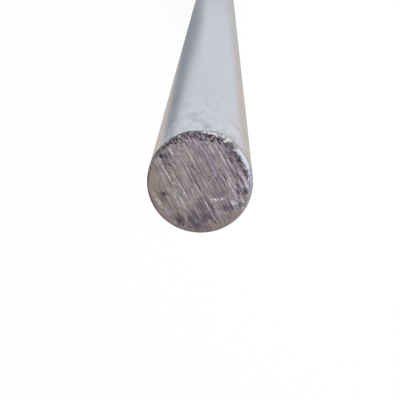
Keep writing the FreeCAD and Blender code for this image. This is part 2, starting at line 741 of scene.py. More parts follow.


# The marks that tell this sawn end from any other. Each was set against the photograph
# and adjusted by comparing it with the render. The long narrow ones are scores of single
# teeth, and the others are gouges, pits, rust and oil, except two that paint the
# highlight and the shadow of a tooth near the top of the rim.
SAWN_MARKS: dict[Film, tuple[Mark, ...]] = {
    Film.BURNISH_AND_HIGHLIGHT: (
        Mark(0.42, -5.95, 5.6, 0.11, 3.4, -0.02),
        Mark(0.28, -6.0, -0.5, 0.10, 3.6, -0.03),
        Mark(0.34, -5.35, -4.6, 0.11, 3.0),
        Mark(0.25, -4.75, 0.4, 0.10, 6.0, -0.03),
        Mark(0.30, -3.85, -5.4, 0.10, 3.4),
        Mark(0.30, -2.9, 4.6, 0.12, 4.4, -0.012),
        Mark(0.65, -2.65, 9.9, 0.20, 0.9, -0.05),
        Mark(0.28, -1.25, 4.4, 0.09, 4.6, -0.02),
        Mark(0.45, -1.0, -6.6, 0.11, 2.6),
        Mark(0.35, 0.55, -6.4, 0.12, 3.2),
        Mark(0.30, 0.75, 7.6, 0.12, 3.9, -0.05),
        Mark(0.25, 2.06, -2.2, 0.10, 3.9),
        Mark(0.35, 3.2, 9.6, 0.09, 2.4),
        Mark(0.25, 4.15, 1.2, 0.10, 3.2),
        Mark(0.30, 3.45, -1.6, 0.10, 2.6),
        Mark(0.35, 5.9, 7.0, 0.14, 1.9, -0.1),
        Mark(0.50, 6.1, -4.8, 0.13, 2.6),
        Mark(0.25, 7.15, 1.0, 0.16, 5.0, 0.04),
        Mark(0.28, 8.35, 0.8, 0.12, 2.0),
        Mark(0.25, 8.2, 5.4, 0.12, 1.6),
        Mark(0.55, 10.0, -6.4, 0.50, 1.1),
        Mark(0.40, 9.7, -7.6, 0.50, 1.0),
        Mark(0.55, 9.45, -1.6, 0.12, 1.3),
        Mark(0.75, 9.6, -5.4, 0.14, 2.4, 0.03),
        Mark(0.35, 8.3, -5.0, 0.12, 1.8),
        Mark(0.50, -10.9, -0.2, 0.40, 1.3, -0.12),
        Mark(0.35, -10.2, -2.8, 0.35, 1.2, -0.12),
        Mark(0.75, 4.9, -7.7, 0.45, 0.6),
        Mark(0.55, 5.5, -8.4, 0.35, 0.4),
        Mark(0.70, 7.1, -8.2, 0.25, 0.6),
        Mark(0.70, 9.0, -8.3, 0.30, 0.5),
        Mark(0.90, 0.7, -4.9, 0.18, 0.30),
        Mark(1.20, 1.5, -5.3, 0.26, 0.28),
        Mark(0.90, 2.2, -5.5, 0.18, 0.28),
        Mark(0.90, 3.0, -5.8, 0.22, 0.26),
        Mark(0.45, -5.0, -7.2, 0.12, 1.2),
        Mark(0.40, -7.2, 5.2, 0.40, 1.4),
        Mark(0.22, -5.4, -0.4, 1.7, 2.8),
        Mark(0.40, -5.4, 2.1, 0.40, 1.2),
        # Painted highlight on the lit face of a tooth near the top of the rim.
        Mark(0.60, 0.7, 11.9, 0.35, 0.4),
        Mark(0.50, 6.8, -10.2, 0.50, 0.4),
        Mark(0.50, -2.4, -1.2, 0.16, 0.6, -0.4),
        Mark(0.35, -2.0, -2.6, 0.12, 0.6),
        Mark(0.60, 6.15, -2.6, 0.14, 0.5),
        Mark(0.35, 0.3, 9.1, 0.10, 1.2, -2.2),
    ),
    Film.GRIME_AND_SHADE: (
        Mark(0.12, 1.0, -11.3, 5.0, 1.5),
        Mark(0.12, -6.6, -10.0, 1.8, 1.2),
        Mark(0.55, -5.62, 4.0, 0.10, 7.5, -0.015),
        Mark(0.90, -5.3, 9.9, 0.50, 0.6),
        Mark(0.60, -4.6, 9.3, 0.22, 0.7),
        Mark(0.75, -4.1, 9.6, 0.14, 1.1),
        Mark(0.75, -3.5, 9.0, 0.14, 1.0),
        Mark(0.65, -4.5, 7.0, 0.32, 0.45),
        Mark(0.45, -3.2, 7.0, 0.28, 0.6),
        Mark(0.40, -4.3, 3.4, 0.14, 4.0, -0.02),
        Mark(0.35, -3.3, -2.0, 0.12, 3.0),
        Mark(0.65, -4.0, -0.4, 0.16, 0.5),
        Mark(0.40, -0.92, 7.0, 0.10, 3.8, -0.02),
        Mark(0.30, -0.92, 1.4, 0.10, 3.0),
        Mark(0.70, -0.8, -0.8, 0.16, 1.2),
        Mark(0.40, -0.7, -4.4, 0.12, 1.8),
        Mark(0.50, 0.05, 4.1, 0.20, 0.7),
        Mark(0.50, 0.45, 2.9, 0.16, 0.8, -0.15),
        Mark(0.35, 2.0, 9.0, 0.12, 2.4),
        Mark(0.45, 4.7, 3.6, 0.11, 3.4, -0.02),
        Mark(0.60, 4.3, 10.0, 0.18, 1.2),
        Mark(0.80, 3.8, -0.65, 0.24, 0.28),
        Mark(0.60, 3.1, -0.8, 0.14, 0.5),
        Mark(0.70, 5.5, 0.95, 0.24, 0.30),
        Mark(0.70, 5.7, -1.2, 0.18, 0.9, -0.12),
        Mark(0.45, 4.9, -3.0, 0.20, 1.8),
        Mark(0.60, 5.4, 9.3, 0.24, 1.0),
        Mark(0.55, 5.6, 7.6, 0.24, 0.5),
        Mark(0.75, 7.0, 9.4, 0.35, 0.9),
        Mark(0.50, 7.85, 4.4, 0.13, 3.2),
        Mark(0.45, 7.95, -2.4, 0.15, 3.0),
        Mark(0.55, 7.75, -5.2, 0.26, 1.4),
        Mark(1.00, 8.5, -6.4, 0.50, 0.9),
        Mark(0.60, 7.9, -6.9, 0.35, 0.6),
        Mark(0.50, 8.6, -2.2, 0.35, 0.7),
        Mark(0.55, 10.3, 1.8, 0.50, 1.4),
        Mark(0.45, 9.4, 5.4, 0.50, 0.6),
        Mark(0.45, 9.9, 3.9, 0.45, 0.7),
        Mark(0.55, 6.1, 9.5, 0.45, 0.7),
        Mark(0.80, 7.0, -5.9, 0.32, 0.8),
        Mark(0.65, 7.5, -4.5, 0.25, 0.8),
        Mark(1.10, 7.3, 9.0, 0.32, 0.5),
        Mark(1.00, 5.9, 8.9, 0.40, 0.5),
        Mark(0.50, 4.5, 7.8, 0.25, 0.8),
        Mark(1.00, 6.0, 10.3, 0.45, 0.5),
        Mark(1.00, 9.8, 6.4, 0.35, 0.5),
        Mark(0.55, 8.1, 6.6, 0.25, 0.6),
        # Painted shadow under that tooth.
        Mark(0.70, 0.5, 10.7, 0.50, 0.3),
        Mark(0.75, -0.9, 11.3, 0.35, 0.4),
        Mark(0.80, -1.2, -10.4, 0.25, 0.6),
        Mark(0.45, 8.9, -3.8, 0.20, 1.2),
        Mark(0.50, 8.8, 1.6, 0.30, 1.0),
        Mark(0.25, 9.3, 3.4, 0.25, 0.7),
        Mark(0.85, 10.6, 3.0, 0.42, 0.8),
        Mark(0.90, 10.7, 1.2, 0.42, 0.7),
        Mark(0.80, 10.9, 4.6, 0.32, 0.8),
        Mark(0.50, 10.3, -0.6, 0.25, 1.0),
        Mark(0.75, 10.5, -3.0, 0.22, 1.5),
        Mark(0.65, 9.9, 6.4, 0.50, 0.8),
        Mark(0.50, -6.3, -7.0, 0.22, 0.9),
        Mark(0.50, -8.2, -4.9, 0.26, 0.8),
        Mark(0.40, -1.3, -8.6, 0.14, 2.6, -0.04),
        Mark(0.60, -0.2, -6.6, 0.30, 0.8),
        Mark(0.45, -0.4, -10.4, 0.12, 1.6, -0.1),
        Mark(0.25, -8.1, 2.4, 0.16, 2.6),
        Mark(0.50, -8.9, 1.3, 0.70, 0.5),
        Mark(0.50, -9.0, -6.2, 0.45, 0.9),
        Mark(0.45, 3.1, -9.0, 0.12, 1.8),
        Mark(0.50, 2.4, -8.4, 0.26, 0.9),
        Mark(0.45, 3.9, -8.6, 0.20, 0.8),
        Mark(0.55, 6.0, -9.0, 0.40, 0.5),
    ),
    Film.TARNISH: (
        Mark(0.95, -5.2, -7.8, 2.0, 1.9),
        Mark(0.85, -2.2, -7.9, 1.5, 1.6),
        Mark(0.75, -8.6, -6.2, 1.2, 1.5),
        Mark(0.55, -2.0, -5.6, 2.2, 1.8),
        Mark(0.22, 3.0, -1.5, 3.6, 8.5),
        Mark(0.60, 3.0, -8.2, 1.8, 1.2),
        Mark(0.60, 9.6, 2.0, 1.1, 4.0),
        Mark(0.45, -4.4, 9.0, 1.1, 1.6),
        Mark(0.70, -8.8, 1.0, 1.1, 0.5),
        Mark(0.40, 6.2, -8.8, 1.4, 0.9),
        Mark(0.25, 1.2, 3.4, 1.2, 2.2),
        Mark(0.40, -3.8, -10.6, 1.7, 0.8),
    ),
    Film.RUST: (
        Mark(0.85, -10.7, 4.4, 1.1, 2.8),
        Mark(0.80, -11.5, -3.2, 0.7, 3.0),
        Mark(0.55, -9.2, 7.4, 0.8, 1.6),
        Mark(0.90, 0.2, -11.0, 3.4, 1.3),
        Mark(0.90, 4.6, -10.7, 1.9, 0.8),
        Mark(0.35, -4.6, -11.0, 1.7, 0.9),
        Mark(0.15, -6.6, 2.6, 1.6, 4.4),
        Mark(0.25, -8.6, -2.6, 0.9, 1.6),
        Mark(0.25, 6.6, 3.5, 0.9, 3.6),
        Mark(0.20, -3.6, 2.4, 1.2, 3.2),
    ),
}


@dataclass(frozen=True)
class RimBurr:
    """One ragged stretch of metal that the blade pushed out over the rim.

    Clock is the direction of its middle, in degrees from +X as seen from above, so the
    camera sees 180 at the right and 270 at the top. Reach is in millimetres. Polish is
    the share of bright metal. Teeth and tips are how many bumps there are to a degree.
    """

    clock: float
    half_span: float
    reach: float
    polish: float
    teeth: float = 0.4
    tips: float = 1.1

    def push(self, clock: float) -> float:
        """Reads how far the burr stands out.

        Args:
            clock: Direction from the bar's axis.

        Returns:
            Millimetres past the rim.
        """
        off = abs((clock - self.clock + 180.0) % 360.0 - 180.0) / self.half_span
        if off >= 1.0:
            return 0.0
        teeth = noise.noise(Vector((clock * self.teeth, self.clock, 0.0)))
        tips = noise.noise(Vector((clock * self.tips, self.clock, 4.0)))
        ragged = max(0.15, 0.7 + 0.8 * teeth + 0.3 * tips)
        return self.reach * (1.0 - off * off) * ragged


# One burr is bright. The other two, to the left of it, are dirty.
BURRS = (
    RimBurr(clock=247.0, half_span=24.0, reach=0.75, polish=0.9),
    RimBurr(clock=286.0, half_span=26.0, reach=0.5, polish=0.2),
    RimBurr(clock=322.0, half_span=24.0, reach=0.3, polish=0.25),
)


@dataclass(frozen=True)
class GroundCrescent:
    """The stretch of the top rim that was ground back, in millimetres and degrees.

    It is part of a cone whose axis is parallel to the bar's. The cone bites deepest at
    the crescent's middle and runs out to nothing at both tips.
    """

    radius: float
    widest: float = 1.3
    half_span: float = 63.0
    clock: float = 208.0
    # The stone left clean metal between these two directions.
    clean_from: float = 190.0
    clean_to: float = 226.0
    # The rim beside it is spotted for the first of these many degrees, and calm past the
    # second.
    spotted_reach: float = 18.0
    calm_reach: float = 38.0
    # Below it the rim is stained up to the first of these directions, and half bare from
    # the second.
    stained_to: float = 105.0
    bare_from: float = 135.0
    # Width of the thin dark line along the rim's outer edge, which is painted shade.
    shaded_edge: float = 0.28

    def stroke(self) -> tuple[Vector, float]:
        """Works out the cone's circle on the end face.

        Returns:
            The circle's centre, and its radius.
        """
        across = 2 * self.radius
        tip = math.cos(math.radians(self.half_span))
        offset = self.widest * (across - self.widest) / (across * (1 - tip) - 2 * self.widest)
        middle = math.radians(self.clock)
        centre = Vector((math.cos(middle), math.sin(middle))) * -offset
        return centre, self.radius - self.widest + offset

    def inner_edge(self, direction: Vector) -> float:
        """Finds where the ground surface starts.

        Args:
            direction: Unit vector from the bar's axis.

        Returns:
            Distance from the axis, along that direction.
        """
        centre, reach = self.stroke()
        along = direction.dot(centre)
        return along + math.sqrt(along * along - centre.length_squared + reach * reach)

    def films(self, flat: Vector, clock: float, inner: float) -> dict[Film, float]:
        """Reads what lies on the ground rim at one point.

        Args:
            flat: X and Y.
            clock: Direction from the bar's axis, in degrees.
            inner: Distance from the axis at which the rim starts in that direction.

        Returns:
            A share from 0 to 1 for each film. Both tips are stained and pitted.
        """
        tears = read_noise(flat, 0.7, 0.7, 2.0)
        grit = read_noise(flat, 0.28, 0.28, 6.0)

        # How far round the rim the point is: in the clean stretch, in the lively spotted
        # stretch at either end of it, below it, or on the far left.
        ragged = clock + 10.0 * tears
        clean = smooth_step(self.clean_from - 10.0, self.clean_from + 12.0, ragged)
        clean *= smooth_step(self.clean_to + 5.0, self.clean_to - 5.0, ragged)
        off = max(0.0, self.clean_from - clock, clock - self.clean_to)
        lively = smooth_step(self.calm_reach, self.spotted_reach, off)
        below = smooth_step(self.clean_from + 4.0, self.clean_from - 4.0, clock)
        bare = smooth_step(self.stained_to, self.bare_from, clock)
        # On the far left the rim gets extra painted shade.
        left = smooth_step(250.0, 290.0, clock) + smooth_step(70.0, 0.0, clock)

        # How far across the rim it is: at its outer edge, or at its inner one.
        edge = smooth_step(self.shaded_edge, 0.4 * self.shaded_edge, self.radius - flat.length)
        inside = smooth_step(0.4, 0.05, flat.length - inner + 0.45 * tears + 0.3 * grit)

        # Grime fills pits, and it lies along the inner edge. The thin dark line along the outer
        # edge, and the extra darkening on the far left, are painted shade.
        spotted = 0.45 - 0.35 * below + (1.6 - 0.6 * below) * grit
        pits_and_shade = lively * spotted + (1.0 - lively) * (0.05 + 0.5 * left + 0.2 * grit)
        pits_and_shade = (1.0 - clean) * min(1.0, max(0.0, pits_and_shade))
        outer = (0.6 + 0.2 * lively * (1.0 - clean)) * (1.0 - 0.6 * below) * edge
        outer *= 0.2 + 0.8 * max(clean, lively, min(1.0, left))
        inner_dirt = (0.8 - 0.4 * below) * lively * inside
        grime = max(outer, inner_dirt, pits_and_shade)

        # Bright specks show where the stained metal is torn.
        specks = smooth_step(0.14 - 0.3 * below, 0.45 - 0.2 * below, tears + 0.4 * grit)
        specks *= lively * (1.0 - clean) * (1.0 - (1.0 - below) * edge) * (1.0 - 0.6 * below)
        return {
            Film.BURNISH_AND_HIGHLIGHT: min(1.0, specks),
            Film.GRIME_AND_SHADE: min(1.0, grime),
            Film.RUST: 0.0,
            Film.TARNISH: (1.0 - clean) * (1.0 - 0.5 * below * max(lively, bare)),
        }


@dataclass(frozen=True)
class SawnFace:
    """Relief, dirt and painted shade of the sawn end, in millimetres."""

    radius: float
    # Turn about the bar's axis that brings the scores to the Y axis.
    turn: float = math.radians(153.5)
    # The face lies this far under the top of the solid, so that no ridge stands above it.
    skin: float = 0.06
    # Depth of the two waves, of a gouge under grime and painted shade, and height of a
    # ridge under burnished metal and the painted highlight.
    coarse_depth: float = 0.018
    fine_depth: float = 0.0055
    gouge_depth: float = 0.06
    ridge_height: float = 0.012
    # Width and length of the waves in the scores.
    coarse_score: tuple[float, float] = (0.6, 6.0)
    fine_score: tuple[float, float] = (0.3, 3.0)
    # The clock of the middle of each torn stretch of the rim, and how far it spreads. The
    # dark band of the two at the top, under the burrs, is painted shade as well as dirt.
    # None of them reaches further in than the torn band.
    wide_tear: tuple[float, float] = (256.0, 30.0)
    thin_tear: tuple[float, float] = (300.0, 40.0)
    side_tear: tuple[float, float] = (204.0, 26.0)
    torn_band: float = 3.0

    def grain(self, flat: Vector) -> Vector:
        """Turns a place on the end to its places across and along the scores.

        Args:
            flat: X and Y.

        Returns:
            Across and along.
        """
        return Matrix.Rotation(self.turn, 2) @ flat

    def films(self, grain: Vector, clock: float) -> dict[Film, float]:
        """Reads what lies on the steel at one point.

        Args:
            grain: Across and along.
            clock: Direction from the bar's axis, in degrees.

        Returns:
            A share from 0 to 1 for each film.
        """
        across, along = grain
        # Rust and oil spread unevenly, so their patches are read at a place that wanders.
        aside = across + 1.2 * noise.fractal(Vector((across / 1.9, along / 2.6, 15.0)), 0.8, 2.0, 3)
        ahead = along + 1.5 * noise.fractal(Vector((across / 2.1, along / 2.0, 19.0)), 0.8, 2.0, 3)
        found = {}
        for film, marks in SAWN_MARKS.items():
            place = (aside, ahead) if film in (Film.RUST, Film.TARNISH) else (across, along)
            found[film] = max(mark.weight(*place) for mark in marks)
        patchy = read_noise(grain, 0.7, 1.4, 3.0)
        for film in (Film.RUST, Film.TARNISH):
            found[film] = min(1.0, max(0.0, found[film] * (1.0 + 0.5 * patchy)))
        flecks = read_noise(grain, 0.4, 0.6, 5.0)
        broken = min(1.3, max(0.0, 0.75 + 1.3 * flecks))
        found[Film.BURNISH_AND_HIGHLIGHT] *= broken * (1.0 - 0.5 * found[Film.RUST])
        # The dark band inside the rim, dirt and painted shade under the burrs, joins the grime film.
        dirt_and_shade, specks = self.rim_dirt_and_shade(grain, clock)
        found[Film.GRIME_AND_SHADE] = min(1.0, max(found[Film.GRIME_AND_SHADE] * min(1.2, 0.4 + broken), dirt_and_shade))
        found[Film.BURNISH_AND_HIGHLIGHT] = min(1.0, max(found[Film.BURNISH_AND_HIGHLIGHT], specks))
        return found

    def rim_dirt_and_shade(self, grain: Vector, clock: float) -> tuple[float, float]:
        """Reads the dark band inside the rim, dirt in torn metal and painted shade under the
        burrs, and the bright specks in it.

        Args:
            grain: Across and along.
            clock: Direction from the bar's axis, in degrees.

        Returns:
            Share of grime and painted shade, and share of bright metal.
        """
        inset = self.radius - grain.length
        if inset > self.torn_band:
            return 0.0, 0.0
        wide, thin, torn = (
            math.exp(-(((clock - middle) / spread) ** 2))
            for middle, spread in (self.wide_tear, self.thin_tear, self.side_tear)
        )
        tears = read_noise(grain, 0.45, 2.2, 1.0)
        blots = read_noise(grain, 0.6, 0.9, 12.0)
        ragged = min(1.0, torn + 0.7 * wide)
        reach = 0.1 + 1.6 * wide + 0.7 * thin + 2.0 * torn
        reach *= max(0.0, 1.0 + 0.9 * tears + ragged * blots)
        # The band darkens with dirt in torn metal and with painted shade under the burrs.
        dirt_and_shade = (0.35 + 0.6 * max(wide, thin, torn)) * smooth_step(reach + 0.4, reach - 0.3, inset)
        dirt_and_shade *= 1.0 - ragged * smooth_step(0.0, 0.35, blots)
        line = smooth_step(0.9, 0.5, inset) * min(1.0, max(0.0, 0.75 + 0.8 * tears))
        dirt_and_shade = max(dirt_and_shade, 0.85 * max(wide, thin) * line)
        grit = read_noise(grain, 0.3, 0.7, 9.0)
        specks = 0.4 * dirt_and_shade * (wide + 0.3 * thin + 0.6 * torn) * smooth_step(0.25, 0.55, grit)
        # The thin stretch is smeared rather than torn, so its dark band is more even.
        contrast = 0.9 - 0.6 * thin * (1.0 - wide)
        return dirt_and_shade * min(1.0, max(0.0, 1.05 - contrast * grit)), specks

    def depth(self, grain: Vector, films: dict[Film, float]) -> float:
        """Reads the relief that the blade left.

        Args:
            grain: Across and along.
            films: What lies on the steel there.

        Returns:
            Depth under the highest point of the bar.
        """
        coarse = read_noise(grain, *self.coarse_score, 0.5)
        fine = read_noise(grain, *self.fine_score, 7.5)
        relief = self.coarse_depth * coarse + self.fine_depth * fine
        relief *= 1.0 - 0.75 * films[Film.RUST]
        cut = self.gouge_depth * films[Film.GRIME_AND_SHADE] - self.ridge_height * films[Film.BURNISH_AND_HIGHLIGHT]
        return max(0.0, self.skin + relief + cut)


@dataclass
class RoundBar:
    """The whole bar: one lathe-turned mesh with the saw's relief in its top face."""

    low: Vector
    high: Vector
    edge_break: float = 0.25
    plain_bevel: float = 0.6
    # The burrs bend this much of the side under the rim, and this much of the face inside
    # the edge break. Where they are bright, they lap a little further over the face.
    lip: float = 0.9
    burr_root: float = 0.6
    burr_lap: float = 0.24
    # How finely the bar is divided: all round it, and then along its half section.
    wedges: int = 16
    steps: int = 32
    face_rings: int = 100
    rim_rings: int = 8
    lip_rings: int = 6
    side_rings: int = 20
    plain_rings: int = 20
    crescent: GroundCrescent = field(init=False)
    face: SawnFace = field(init=False)

    def __post_init__(self) -> None:
        """Takes the crescent and the sawn face from the bar's own radius."""
        self.crescent = GroundCrescent(self.radius)
        self.face = SawnFace(self.radius)

    @property
    def radius(self) -> float:
        """Radius in millimetres, inside the box of the solid."""
        return min(self.high.x, self.high.y, -self.low.x, -self.low.y) / MM

    @property
    def length(self) -> float:
        """Length in millimetres."""
        return self.high.z / MM

    @property
    def flat_radius(self) -> float:
        """Radius of the end face inside its edge break."""
        return self.radius - self.edge_break

    @property
    def rim_height(self) -> float:
        """Height of the outer edge of the edge break."""
        return self.length - self.edge_break

    def build(self) -> bpy.types.Object:
        """Makes the dressed bar.

        Returns:
            The bar, in metres.
        """
        work = bmesh.new()
        self.turn_profile(work)
        self.mark_zones(work)
        self.shape_top(work)
        bmesh.ops.scale(work, vec=(MM, MM, MM), verts=work.verts)
        return put_in_scene(
            "dressed_bar",
            work,
            DrawnSteel().material(self.length),
            SawnSteel().material(self.face.turn),
            GroundSteel().material(self.face.turn),
        )

    def turn_profile(self, work: bmesh.types.BMesh) -> None:
        """Turns the bar's half section into one wedge, and copies that all round.

        Args:
            work: Empty bmesh that receives the bar, in millimetres.
        """
        section = (
            ((self.flat_radius, self.length), self.face_rings),
            ((self.radius, self.rim_height), self.rim_rings),
            ((self.radius, self.rim_height - self.lip), self.lip_rings),
            ((self.radius, self.plain_bevel), self.side_rings),
            ((self.radius - self.plain_bevel, 0.0), 2),
            ((0.0, 0.0), self.plain_rings),
        )
        last = work.verts.new((0.0, 0.0, self.length))
        for (out, up), rings in section:
            step = (Vector((out, 0.0, up)) - last.co) / rings
            for _ in range(rings):
                last = bmesh.ops.extrude_vert_indiv(work, verts=[last])["verts"][0]
                bmesh.ops.translate(work, vec=step, verts=[last])
        wedge = math.tau / self.wedges
        bmesh.ops.spin(
            work,
            geom=work.verts[:] + work.edges[:],
            axis=(0.0, 0.0, 1.0),
            angle=wedge,
            steps=self.steps,
        )
        bmesh.ops.spin(
            work,
            geom=work.verts[:] + work.edges[:] + work.faces[:],
            axis=(0.0, 0.0, 1.0),
            angle=math.tau - wedge,
            steps=self.wedges - 1,
            use_duplicate=True,
        )
        bmesh.ops.remove_doubles(work, verts=work.verts, dist=TOUCHING)
        bmesh.ops.recalc_face_normals(work, faces=work.faces)

    def mark_zones(self, work: bmesh.types.BMesh) -> None:
        """Gives each face its finish, smooths it, and keeps the rims sharp.

        Args:
            work: The turned bar.
        """
        for face in work.faces:
            face.smooth = True
            middle = face.calc_center_median()
            out = middle.xy.length
            clock = math.degrees(math.atan2(middle.y, middle.x)) % 360.0
            torn = max(burr.push(clock) for burr in BURRS) > 0.0
            if self.rim_height - self.lip < middle.z < self.rim_height and torn:
                zone = Zone.SAWN_END
            elif self.rim_height > middle.z > self.plain_bevel:
                zone = Zone.DRAWN_SIDE
            elif middle.z > self.rim_height and out > self.flat_radius:
                zone = Zone.GROUND_CRESCENT
            else:
                zone = Zone.SAWN_END
            face.material_index = zone.value
        for edge in work.edges:
            kinds = {face.material_index for face in edge.link_faces}
            if len(kinds) > 1:
                edge.smooth = False

    def shape_top(self, work: bmesh.types.BMesh) -> None:
        """Moves the vertices to the saw's relief, the crescent and the burrs.

        Args:
            work: The turned bar, with its zones marked.
        """
        layers = {film: work.verts.layers.float.new(film.value) for film in Film}
        side_length = self.rim_height - self.plain_bevel
        slack = 1e-3
        for vert in work.verts:
            if vert.co.z < self.plain_bevel:
                continue
            out = vert.co.xy.length
            direction = vert.co.xy / out if out > slack else Vector((1.0, 0.0))
            clock = math.degrees(math.atan2(direction.y, direction.x)) % 360.0
            if vert.co.z > self.rim_height - slack:
                films = self.shape_end_vertex(vert, direction, clock)
            else:
                share = (vert.co.z - self.plain_bevel) / side_length
                fall = self.rim_drop(direction) - self.edge_break
                vert.co.z -= share * fall
                near = smooth_step(self.rim_height - self.lip, self.rim_height, vert.co.z + fall)
                films = self.push_burr(vert, direction, clock, near)
            for film, amount in films.items():
                vert[layers[film]] = amount

    def rim_drop(self, direction: Vector) -> float:
        """Works out how far the edge of the side lies under the end.

        Args:
            direction: Unit vector from the bar's axis.

        Returns:
            Millimetres.
        """
        centre, reach = self.crescent.stroke()
        return max(self.edge_break, (direction * self.radius - centre).length - reach)

    def shape_end_vertex(
        self, vert: bmesh.types.BMVert, direction: Vector, clock: float
    ) -> dict[Film, float]:
        """Moves one vertex of the end face, the edge break or the crescent.

        Args:
            vert: The vertex.
            direction: Unit vector from the bar's axis to it.
            clock: The same direction in degrees.

        Returns:
            What lies on the steel there.
        """
        out = vert.co.xy.length
        inner = min(self.flat_radius, self.crescent.inner_edge(direction))
        if out <= self.flat_radius + TOUCHING:
            out = out * inner / self.flat_radius
        else:
            out = inner + (out - self.flat_radius) / self.edge_break * (self.radius - inner)
        flat = direction * out
        centre, reach = self.crescent.stroke()
        drop = max(0.0, out - self.flat_radius, (flat - centre).length - reach)
        grain = self.face.grain(flat)
        films = self.face.films(grain, clock)
        vert.co = Vector((flat.x, flat.y, self.length - max(drop, self.face.depth(grain, films))))
        if out > inner:
            films = self.crescent.films(flat, clock, inner)
        share = smooth_step(self.flat_radius - self.burr_root, self.radius, out)
        burr = self.push_burr(vert, direction, clock, share)
        lap = self.burr_lap * burr[Film.BURNISH_AND_HIGHLIGHT]
        outer = smooth_step(self.flat_radius - 0.16 - lap, self.flat_radius + 0.1 - lap, out)
        polish = outer * burr[Film.BURNISH_AND_HIGHLIGHT]
        films[Film.BURNISH_AND_HIGHLIGHT] = max(films[Film.BURNISH_AND_HIGHLIGHT], polish)
        films[Film.GRIME_AND_SHADE] = max(films[Film.GRIME_AND_SHADE] * (1.0 - polish), outer * burr[Film.GRIME_AND_SHADE])
        return films

    def push_burr(
        self, vert: bmesh.types.BMVert, direction: Vector, clock: float, share: float
    ) -> dict[Film, float]:
        """Pushes one vertex of the rim out to the burrs.

        Args:
            vert: The vertex.
            direction: Unit vector from the bar's axis to it.
            clock: The same direction in degrees.
            share: How much of the burr's reach this vertex takes.

        Returns:
            What lies on the steel there.
        """
        films = {film: 0.0 for film in Film}
        pushes = [burr.push(clock) for burr in BURRS]
        total = sum(pushes)
        if total * share <= 0.0:
            return films
        polish = sum(burr.polish * push for burr, push in zip(BURRS, pushes)) / total
        out = vert.co.xy.length + max(pushes) * share
        room = self.radius / max(abs(direction.x), abs(direction.y))
        flat = direction * min(out, room)
        vert.co = Vector((flat.x, flat.y, vert.co.z))
        grain = 0.4
        grit = noise.noise(Vector((flat.x / grain, flat.y / grain, vert.co.z / grain)))
        specks = (0.25 + 0.5 * polish) * smooth_step(0.2, 0.5, grit)
        films[Film.BURNISH_AND_HIGHLIGHT] = min(1.0, max(specks, polish * (0.9 + 0.8 * grit)))
        films[Film.GRIME_AND_SHADE] = min(1.0, max(0.0, (1.0 - polish) * (1.0 - 1.4 * grit)))
        return films


